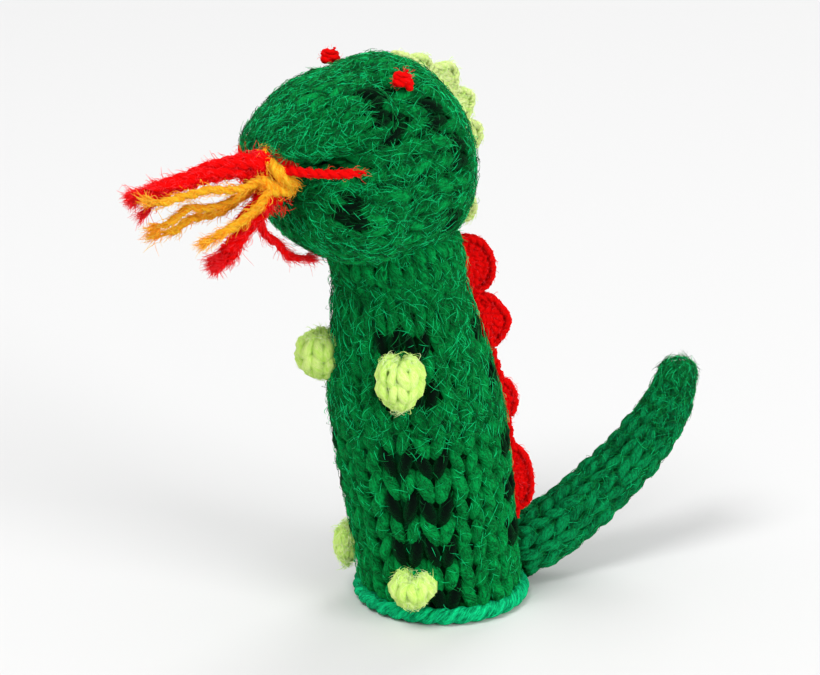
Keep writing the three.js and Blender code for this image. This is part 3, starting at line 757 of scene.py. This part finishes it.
# A dyed wool: the material of its yarn, those of its loose fibres, and the record's slot.
Wool = namedtuple("Wool", "yarn fibres slot")
LIME = Wool(
    wool("lime_wool", (0.56, 0.92, 0.12), (0.82, 1.0, 0.34)),
    [hair("lime_fibre", (0.7, 1.0, 0.25)), hair("lime_fibre_pale", (0.85, 1.0, 0.5))], "lime_wool")
# The crest's paler copy of the lime wool: partly its paler yarn, partly painted light against the shade it
# lies in.
PALE_AND_LIT_LIME = LIME._replace(yarn=wool("pale_and_lit_lime_wool", (0.74, 0.98, 0.24), (0.94, 1.0, 0.5), sheen=0.1))
RED = Wool(
    wool("red_wool", (0.95, 0.0, 0.0), (1.0, 0.004, 0.004), sheen=0.1),
    [hair("red_fibre", (0.95, 0.002, 0.004)), hair("red_fibre_pale", (1.0, 0.03, 0.04))], "red_wool")
ORANGE = Wool(
    wool("orange_wool", (1.0, 0.3, 0.003), (1.0, 0.7, 0.04)),
    [hair("orange_fibre", (1.0, 0.36, 0.01)), hair("orange_fibre_pale", (1.0, 0.6, 0.05))], "orange_wool")
FLAME_WOOL = {"red": RED, "orange": ORANGE}

# Shares of dark, middling and light fibres.
SLEEVE_SHADES = [0.35, 0.4, 0.25]
# The head's mix has more dark fibres than the sleeve's: painted shade that keeps the head darker.
HEAD_SHADES = [0.42, 0.36, 0.22]
TAIL_SHADES = [0.45, 0.42, 0.13]


def yarn_piece(name, part, material):
    """A piece in one material, with its yarn data as attributes."""
    vertices, quads, caps, data = part
    attributes = {"yarn": data[:, :3]}
    if data.shape[1] > 3:
        attributes["dye"] = data[:, 3]
        # The share of painted shade.
        attributes["deep"] = data[:, 4]
    return new_mesh(name, vertices, quads, caps, [material], attributes)


def hair_piece(name, part, materials, weights=None):
    """Hairs as one piece, with each hair in one of the materials."""
    vertices, quads, caps, _ = part
    per_hair = HAIR_POINTS * HAIR_SIDES
    pick = rng.choice(len(materials), len(vertices) // per_hair, p=weights)
    hair_of_face = np.concatenate([faces[:, 0] for faces in [quads, *caps]]) // per_hair
    return new_mesh(name, vertices, quads, caps, materials, face_material=pick[hair_of_face])


def mount(pieces, slot_name, *bodies, **stretch):
    """Puts pieces on one body, or, given a stretch, only bakes their place into their meshes. The slot's
    name is not used.
    """
    for piece in pieces:
        if stretch:
            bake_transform(piece)
        else:
            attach(piece, *bodies)


def make_yarns(name, kind, yarns, colour, fuzz, *bodies, nodes=None, stretch=None, **options):
    """Yarns as one piece, which replaces nodes, and the loose fibres on them as another."""
    strand = yarn_piece(name + kind, join([yarn.part for yarn in yarns]), colour.yarn)
    lint = join([yarn_hairs(yarn, fuzz, **options) for yarn in yarns])
    pieces = (strand, hair_piece(name + "_fuzz", lint, colour.fibres))
    mount(pieces, colour.slot, *bodies, **(stretch or {}))
    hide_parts(*(nodes or [name]))


# ---- body

def black_stitches(row, stitch):
    """Pairs of black stitches on every other course of the body, and one by the left foot."""
    pair = np.isin(stitch, [0, 1, 4, 5, 8, 9, 11, 12])
    return (pair & np.isin(row, [2, 4, 6, 9, 11])) | ((stitch == 1) & (row == 0))


def no_black(row, stitch):
    return np.zeros(np.broadcast(row, stitch).shape)


def cells(marked, stitches):
    """Dye for marked (row, stitch) cells, and for their mirror images across the head."""
    both = set(marked) | {(row, stitches - 1 - stitch) for row, stitch in marked}
    def dye(row, stitch):
        black = np.zeros(row.shape, bool)
        for marked_row, marked_stitch in both:
            black |= (row == marked_row) & (stitch == marked_stitch)
        return black
    return dye


# The stretch of the body's axis over the sleeve's top few courses, below the neck.
SLEEVE_BLEND = dict(start=place(axis_point(44)), end=place(axis_point(51)))
SLEEVE_CLOTH = Cloth(body_form, RIM_TOP - 0.6, 54.0, BODY_STITCHES, COURSE, black_stitches, BODY_STEP)


def make_sleeve():
    knitting = yarn_piece("sleeve_knitting", knit(SLEEVE_CLOTH, YARN_RADIUS, CLOTH_DEPTH), GREEN)
    backing = yarn_piece("sleeve_backing", tube_wall(SLEEVE_CLOTH, SLEEVE_WALL), GREEN_PLAIN)
    lint = join([
        fibres(SLEEVE_CLOTH, LOW_SLEEVE_FUZZ, last=34),
        fibres(SLEEVE_CLOTH, HIGH_SLEEVE_FUZZ, first=30)])
    fuzz = hair_piece("sleeve_fuzz", lint, GREEN_HAIRS, SLEEVE_SHADES)
    mount((knitting, backing, fuzz), "green_wool", "sleeve", "neck", **SLEEVE_BLEND)
    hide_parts("body_sleeve")


def make_rim():
    """The cast-on edge: two thick strands that wind round each other, once for each stitch."""
    count = BODY_STITCHES * 24
    turn = np.arange(count) / count
    out = bearing_direction(360 * turn)
    parts = []
    for strand in range(2):
        phase = TWO_PI * turn * BODY_STITCHES + np.pi * strand
        z = RIM_STRAND_HEIGHT + RIM_WINDING * np.sin(phase)
        path = out * (RIM_RING + RIM_WINDING * np.cos(phase))[:, None]
        path = path + axis_point(z)
        radii = np.full((1, count), RIM_STRAND_RADIUS)
        parts.append(tubes(path[None], np.broadcast_to(out, path.shape)[None], radii, 10, closed=True))
    # The edge's yarn is painted brighter, as painted glow.
    rim = yarn_piece("cast_on_edge_yarn", join(parts), GREEN_EDGE_GLOW)
    mount([rim], "green_wool", "sleeve")
    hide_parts("cast_on_edge")


# ---- head

# Stretches for the head, over the fold's height, and for the jaw, about the mouth's corners.
HEAD_BLEND = dict(start=place((0, -8.2, 51.5)), end=place((0, -8.6, 58)))
JAW_BLEND = dict(start=place((0, -17.5, 68)), end=place((0, -22, 66)))


def outside_mouth(points):
    """Keeps the fuzz out of the slit between the snout and the jaw."""
    y, z = points[:, 1], points[:, 2]
    return ~((y < -20) & (z > 71.4) & (z < 74.6))


def face_cloth(stations, first, last, stitches, course, marked):
    return Cloth(section_form(stations), first, last, stitches, course, cells(marked, stitches), FORM_STEP)


SKULL_CLOTH = face_cloth(SKULL, 0.035, 0.93, SKULL_STITCHES, COURSE, SKULL_BLACK)
SNOUT_CLOTH = face_cloth(SNOUT, 0.12, 0.96, SNOUT_STITCHES, FACE_COURSE, SNOUT_BLACK)
JAW_CLOTH = face_cloth(JAW, 0.14, 0.95, JAW_STITCHES, FACE_COURSE, JAW_BLACK)


def make_head():
    """The skull and the snout, which are one piece of knitting, and the jaw."""
    loops = join([
        knit(SKULL_CLOTH, YARN_RADIUS, CLOTH_DEPTH - 0.2),
        knit(SNOUT_CLOTH, FACE_YARN_RADIUS, CLOTH_DEPTH - 0.3)])
    deep = join([lining(SKULL_CLOTH.form, 1.25), lining(SNOUT_CLOTH.form, 1.1)])
    head = yarn_piece("head_knitting", loops, GREEN)
    head_pieces = [head, yarn_piece("head_backing", deep, GREEN_PLAIN)]
    jaw = yarn_piece("jaw_knitting", knit(JAW_CLOTH, FACE_YARN_RADIUS, CLOTH_DEPTH - 0.4), GREEN)
    jaw_pieces = [jaw, yarn_piece("jaw_backing", lining(JAW_CLOTH.form, 1.0), GREEN_PLAIN)]
    lint = {
        "nape_fuzz": fibres(SKULL_CLOTH, SKULL_FUZZ, last=0.45),
        "skull_fuzz": fibres(SKULL_CLOTH, SKULL_FUZZ, first=0.42, last=0.8, keep=outside_mouth),
        "snout_fuzz": fibres(SNOUT_CLOTH, SNOUT_FUZZ, last=0.985, keep=outside_mouth),
        "jaw_fuzz": fibres(JAW_CLOTH, JAW_FUZZ, last=0.97, keep=outside_mouth),
    }
    for name, part in lint.items():
        side = jaw_pieces if name == "jaw_fuzz" else head_pieces
        side.append(hair_piece(name, part, GREEN_HAIRS, HEAD_SHADES))
    mount(head_pieces, "green_wool", "neck", "head", **HEAD_BLEND)
    mount(jaw_pieces, "green_wool", "head", "jaw", **JAW_BLEND)
    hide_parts("head_cover")
    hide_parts("jaw_cover")


def make_fillings():
    """The wads inside the head and the jaw."""
    skull, snout, jaw = [
        stuffing(cloth.form, 0.01, 0.98, depth)
        for cloth, depth in ((SKULL_CLOTH, 2.6), (SNOUT_CLOTH, 2.4), (JAW_CLOTH, 2.4))]
    head_filling = yarn_piece("head_filling", join([skull, snout]), STUFFING)
    jaw_filling = yarn_piece("jaw_filling", jaw, STUFFING)
    mount([head_filling], "stuffing", "neck", "head", **HEAD_BLEND)
    mount([jaw_filling], "stuffing", "head", "jaw", **JAW_BLEND)
    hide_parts("head_stuffing")
    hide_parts("jaw_stuffing")


def make_eyes():
    """French knots: yarn wound twice round and pulled down."""
    for name in ("left_eye", "right_eye"):
        low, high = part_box(name)
        centre = np.array((low + high) / 2) / MM - SHIFT
        turn = np.linspace(0, 2.3, 30)
        radius = 0.95 - 0.16 * turn
        coil = np.stack([
            centre[0] + radius * 1.1 * np.cos(TWO_PI * turn),
            centre[1] + radius * np.sin(TWO_PI * turn),
            centre[2] - 1.0 + 0.85 * turn], -1)
        yarn = plied(coil, EYE_YARN, pitch=3.0)
        make_yarns(name, "_knot", [yarn], RED, EYE_FUZZ, "head")


# ---- tail

def tail_point(share):
    """The middle of the tail at this share of its length, in the frame."""
    distance, z, _ = smooth_curve(TAIL, np.array(share * (len(TAIL) - 1)))
    return place(bearing_direction(TAIL_BEARING) * distance + np.array([0, 0, z]))


def make_tail():
    # Each half's stretch of the tail, its bodies, and a second stretch that is passed on with its pieces.
    halves = {
        "tail_root": (0.0, TAIL_SPLIT, ("sleeve", "tail_root"), (0.02, 0.2)),
        "tail_tip": (TAIL_SPLIT, 0.975, ("tail_root", "tail_tip"), (0.52, 0.74)),
    }
    for name, (first, last, bodies, (start, end)) in halves.items():
        cloth = Cloth(tail_form, first, last, TAIL_STITCHES, TAIL_COURSE, no_black, FORM_STEP)
        deep = lining(tail_form, 0.95, max(first - 0.02, 0), min(last + 0.02, 0.995), around=32, rows=30)
        lint = fibres(cloth, TAIL_FUZZ, first=max(first, 0.06))
        loops = knit(cloth, SMALL_YARN_RADIUS, 1.0, samples=14)
        fibre = stuffing(tail_form, max(first, 0.02), min(last, 0.97), 1.9)
        knitting = yarn_piece(name + "_knitting", loops, GREEN_PLAIN)
        filling = yarn_piece(name + "_filling", fibre, STUFFING)
        backing = yarn_piece(name + "_backing", deep, GREEN_PLAIN)
        fuzz = hair_piece(name + "_fuzz", lint, GREEN_HAIRS, TAIL_SHADES)
        bend = dict(start=tail_point(start), end=tail_point(end))
        mount((knitting, backing, fuzz), "green_wool", *bodies, **bend)
        mount([filling], "stuffing", *bodies, **bend)
        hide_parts(name + "_cover")
        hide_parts(name + "_stuffing")


# ---- crochet

def make_bobbles():
    for name, bearing, z, half_width, half_height, depth in BOBBLES:
        form = bobble_form(bearing, z, half_width - 0.7, half_height - 0.6, depth)
        cloth = Cloth(form, 0.08, 0.95, BOBBLE_STITCHES, BOBBLE_COURSE, no_black, FORM_STEP)
        core = lining(form, 0.5, 0.02, 0.98, around=28, rows=18)
        loops = knit(cloth, SMALL_YARN_RADIUS, 0.5, samples=14)
        bobble = yarn_piece(name + "_crochet", join([loops, core]), LIME.yarn)
        lint = fibres(cloth, BOBBLE_FUZZ, first=0.03, last=0.97)
        fuzz = hair_piece(name + "_fuzz", lint, LIME.fibres)
        mount((bobble, fuzz), LIME.slot, "sleeve")
        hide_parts(name)


def scallop(centre, out, up, side, radius, height, diameter):
    """A crocheted shell's yarns: fat posts that fan out from its foot, rows across them, and a round
    edge of chain on each face."""
    yarns = []
    posts = max(5, round(np.pi * (radius + height) / 2 / diameter * 0.85))
    for post in range(posts):
        angle = np.pi * (post + 0.5) / posts
        tip = 0.86 * (np.cos(angle) * radius * up + np.sin(angle) * height * out)
        sway = side * rng.normal(0, 0.15)
        fan = [centre + (tip + sway) * share - 0.3 * out for share in (0.0, 0.3, 0.65, 1.0)]
        yarns.append(plied(fan, diameter * 1.25, pitch=2.6, taper=False, sides=8))
    angle = np.linspace(0.06, 0.94, 9) * np.pi
    for share in (0.3, 0.58, 0.84):
        row = (centre + np.outer(np.cos(angle) * radius * share, up)
               + np.outer(np.sin(angle) * height * share - 0.3, out))
        yarns.append(plied(row, diameter * 1.1, pitch=2.4, taper=False))
    angle = np.linspace(-0.06, 1.06, 13) * np.pi
    bumps = 1 + 0.04 * np.cos(angle * posts * 2)
    for face in (-0.32, 0.32):
        edge = (centre + np.outer(np.cos(angle) * radius * bumps, up)
                + np.outer(np.sin(angle) * height * bumps, out) + side * face * diameter)
        yarns.append(plied(edge, diameter, pitch=2.4, taper=False))
    return yarns


def chain(points, out, side, diameter):
    """A crocheted chain's yarns: a plait of three along a line."""
    yarns = []
    for strand in range(3):
        phase = np.linspace(0, 1, 80) * len(points) * np.pi + strand * TWO_PI / 3
        path = smooth_curve(points, np.linspace(0, len(points) - 1, 80))
        path = path + np.outer(0.55 * np.cos(phase), side) + np.outer(0.3 * np.sin(2 * phase), out)
        yarns.append(plied(path, diameter, pitch=2.4, taper=False))
    return yarns


def make_spine():
    out = bearing_direction(SPINE_BEARING)
    side = sideways(out)
    up = unit(np.array([0, -LEAN, 1.0]))
    yarns = []
    for z, radius, height in SPINE_SCALLOPS:
        centre = out * (body_radius(z) + 0.1) + axis_point(z)
        yarns += scallop(centre, out, up, side, radius - 0.6, height - 0.5, SPINE_YARN)
    z = np.linspace(*SPINE_SPAN, 16)
    base = out * (body_radius(z)[:, None] + 0.2) + axis_point(z)
    yarns += chain(base, out, side, SPINE_CHAIN_YARN)
    make_yarns("back_spine", "_crochet", yarns, RED, SPINE_FUZZ, "sleeve", "neck",
               nodes=["back_spine", "nape_scallop"], stretch=SLEEVE_BLEND)


def make_crest():
    head_middle = np.array([0, -9.0, 71.0])
    yarns = []
    for y, z, radius in CREST_SCALLOPS:
        centre = np.array([0, y, z])
        out = unit(centre - head_middle)
        foot = centre - out * (radius * 0.45)
        yarns += scallop(foot, out, np.cross(RIGHT, out), RIGHT, radius * 0.85, radius * 1.3, CREST_YARN)
    skull = section_form(SKULL)
    top = skull(np.linspace(0.38, 0.0, 12), np.zeros(12)) + np.array([0, 0.1, 0.2])
    nape = skull(np.linspace(0.02, 0.17, 6), np.full(6, 0.5)) + np.array([0, 0.4, 0])
    yarns += chain(np.concatenate([top, nape]), np.array([0, 1.0, 0]), RIGHT, CREST_CHAIN_YARN)
    make_yarns("head_crest", "_crochet", yarns, PALE_AND_LIT_LIME, CREST_FUZZ, "head")


# ---- neck, mouth and flame

def fold_form(along, turn):
    """The soft roll where the sleeve's knitting turns in under the head."""
    angle = np.pi * (along - 0.5)
    z = FOLD_HEIGHT + FOLD_HALF_HEIGHT * np.sin(angle)
    reach = FOLD_RADIUS + FOLD_BULGE * np.cos(angle)
    point = bearing_direction(FIRST_WALE + 360 * turn) * reach[..., None]
    return point + axis_point(z)


def make_neck():
    """The yarn that gathers the sleeve's top, inside it, and the roll of knitting over it."""
    turn = np.arange(48) / 48
    out = bearing_direction(360 * turn)
    ring = out * NECK_YARN_RING + axis_point(NECK_HEIGHT)
    parts = []
    for strand in range(2):
        phase = TWO_PI * turn * NECK_YARN_WAVES + np.pi * strand
        path = ring + NECK_YARN_WINDING * (out * np.cos(phase)[:, None] + np.outer(np.sin(phase), UP))
        radii = np.full((1, len(turn)), NECK_YARN_RADIUS)
        parts.append(tubes(path[None], out[None], radii, 8, closed=True))
    fold = Cloth(fold_form, 0.0, 1.0, BODY_STITCHES, FOLD_COURSE, no_black, FORM_STEP)
    fold_cloth = join([knit(fold, 0.9, 0.9), tube_wall(fold, FOLD_WALL)])
    neck = yarn_piece("neck_yarn", join(parts), GREEN_PLAIN)
    rolled = yarn_piece("neck_fold_knitting", fold_cloth, GREEN)
    fuzz = hair_piece("neck_fold_fuzz", fibres(fold, FOLD_FUZZ), GREEN_HAIRS)
    mount([neck], "green_wool", "neck")
    mount((rolled, fuzz), "green_wool", "neck", "head", **HEAD_BLEND)
    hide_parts("neck_gathering_yarn")


def bundle(points, count, diameter, near, far):
    """Yarns side by side that wander about one line, this far from it at its start and its end."""
    yarns = []
    samples = 3 * len(points)
    line = smooth_curve(points, np.linspace(0, len(points) - 1, samples))
    across = unit(np.cross(np.gradient(line, axis=0), RIGHT))
    reach = np.linspace(near, far, samples)[:, None]
    for yarn in range(count):
        angle = TWO_PI * yarn / count + np.cumsum(rng.normal(0.25, 0.35, samples))
        offset = (0.8 * np.outer(np.cos(angle), RIGHT) + np.sin(angle)[:, None] * across) * reach
        yarns.append(plied(line + offset, diameter, pitch=4.0))
    return yarns


def make_flame():
    for name, colour, body, layout, route in FLAME_ENDS:
        yarns = bundle(route, *layout)
        make_yarns(name, "_yarn", yarns, FLAME_WOOL[colour], FLAME_FUZZ, body, tuft=FLAME_TUFT)


def make_mouth_yarn():
    for name, side, start in (
            ("mouth_yarn_left", 1, LEFT_MOUTH_START), ("mouth_yarn_right", -1, RIGHT_MOUTH_START)):
        route = start + [(side * x, y, z) for x, y, z in MOUTH_YARN]
        yarn = plied(route, MOUTH_YARN_DIAMETER, pitch=2.8)
        make_yarns(name, "_yarn", [yarn], RED, MOUTH_YARN_FUZZ, "head")


def make_knot():
    """The knot: thick red yarn in two bends, with a thinner orange yarn wound over it."""
    wound = (
        ("flame_knot_red", RED, KNOT_RED, 3.1, "flame_knot_core"),
        ("flame_knot_orange", ORANGE, KNOT_ORANGE, 1.9, "flame_knot_wrap"),
    )
    for name, colour, points, diameter, node in wound:
        path = np.array(KNOT_CENTRE) + np.array(points) @ np.array(KNOT_AXES)
        yarn = plied(path, diameter, plies=3, pitch=5.0)
        make_yarns(name, "", [yarn], colour, KNOT_FUZZ, "head", nodes=[node], skin=diameter * 0.5)


# ---- stage

def add_aimed(name, data, location, target):
    """Adds a camera or a light at a location, turned towards a target."""
    thing = bpy.data.objects.new(name, data)
    thing.location = location
    thing.rotation_euler = (target - thing.location).to_track_quat("-Z", "Y").to_euler()
    bpy.context.scene.collection.objects.link(thing)
    return thing


def make_camera():
    elevation = math.radians(CAMERA_ELEVATION)
    level = bearing_direction(CAMERA_AZIMUTH) * math.cos(elevation)
    direction = level + UP * math.sin(elevation)
    data = bpy.data.cameras.new("camera")
    data.lens = CAMERA_LENS
    data.sensor_width = 36
    data.clip_start = 0.01
    aim = np.array(CAMERA_AIM)
    location = Vector(place(aim + CAMERA_DISTANCE * direction))
    bpy.context.scene.camera = add_aimed("camera", data, location, Vector(place(aim)))


def area_light(name, direction, size, power):
    data = bpy.data.lights.new(name, "AREA")
    data.shape = "DISK"
    data.size = size
    data.energy = power
    middle = Vector(place(LIGHT_AIM))
    add_aimed(name, data, middle + Vector(direction).normalized() * LIGHT_DISTANCE, middle)


def make_stage():
    mesh = bpy.data.meshes.new("floor")
    corners = [(-1, -1), (1, -1), (1, 1), (-1, 1)]
    mesh.from_pydata([(FLOOR_REACH * x, FLOOR_REACH * y, 0) for x, y in corners], [], [(0, 1, 2, 3)])
    floor = bpy.data.objects.new("floor", mesh)
    bpy.context.scene.collection.objects.link(floor)
    material, _, _ = shader_tree("pale_floor", {"Base Color": (0.69, 0.69, 0.69, 1), "Roughness": 0.9})
    mesh.materials.append(material)
    world = bpy.data.worlds.new("studio")
    world.use_nodes = True
    set_sockets(world.node_tree.nodes["Background"], {"Color": (1, 1, 1, 1), "Strength": 0.6})
    bpy.context.scene.world = world
    area_light("key", (0.35, -1.0, 1.5), 1.0, 32)
    area_light("fill", (1.4, 0.3, 0.6), 1.4, 36)
    area_light("rim", (-0.6, 1.0, 1.2), 1.2, 14)
    bpy.context.scene.view_settings.view_transform = "Standard"
    bpy.context.scene.view_settings.look = "None"


make_camera()
make_stage()
make_sleeve()
make_rim()
make_neck()
make_head()
make_fillings()
make_eyes()
make_crest()
make_spine()
make_bobbles()
make_tail()
make_mouth_yarn()
make_knot()
make_flame()
